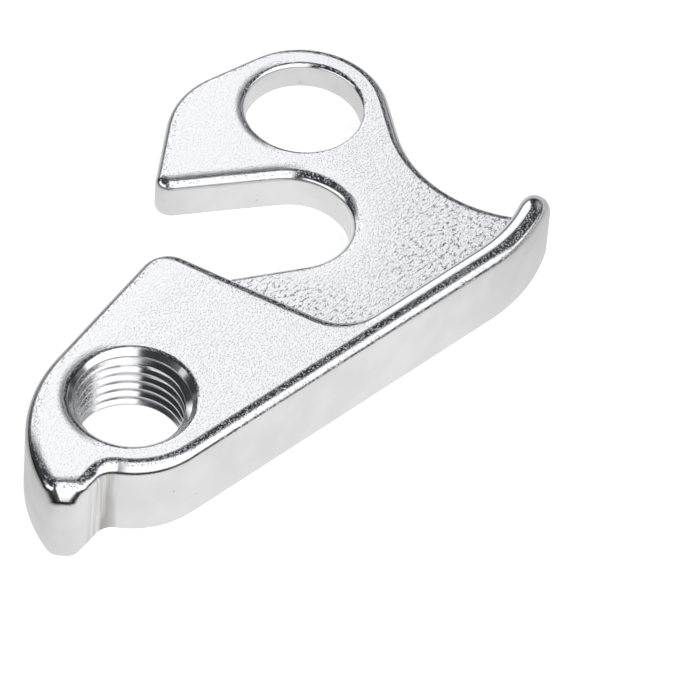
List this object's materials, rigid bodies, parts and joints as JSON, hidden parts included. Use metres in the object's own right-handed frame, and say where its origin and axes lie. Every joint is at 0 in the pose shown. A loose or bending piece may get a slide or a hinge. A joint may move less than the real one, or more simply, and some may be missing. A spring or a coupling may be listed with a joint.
{
  "type": "bicycle derailleur hanger",
  "caption": "Stepped aluminium derailleur hanger: threaded lug with a stop tab, thin seat plate with an open axle slot, a fixing bore, and a raised rim that curls round the frame's end.",
  "frame": {"origin": "on the fixing bore's axis, in the plane of the seat that meets the bicycle's frame", "axes": "+X along the straight outer wall, from the derailleur thread towards the rim's tip; +Z out of the seat, square to the plate"},
  "size_m": [0.0553, 0.0347, 0.0077],
  "materials": {
    "aluminium": "bright tumbled and polished"
  },
  "bodies": {
    "root": {"hanger": "aluminium"}
  },
  "joints": []
}
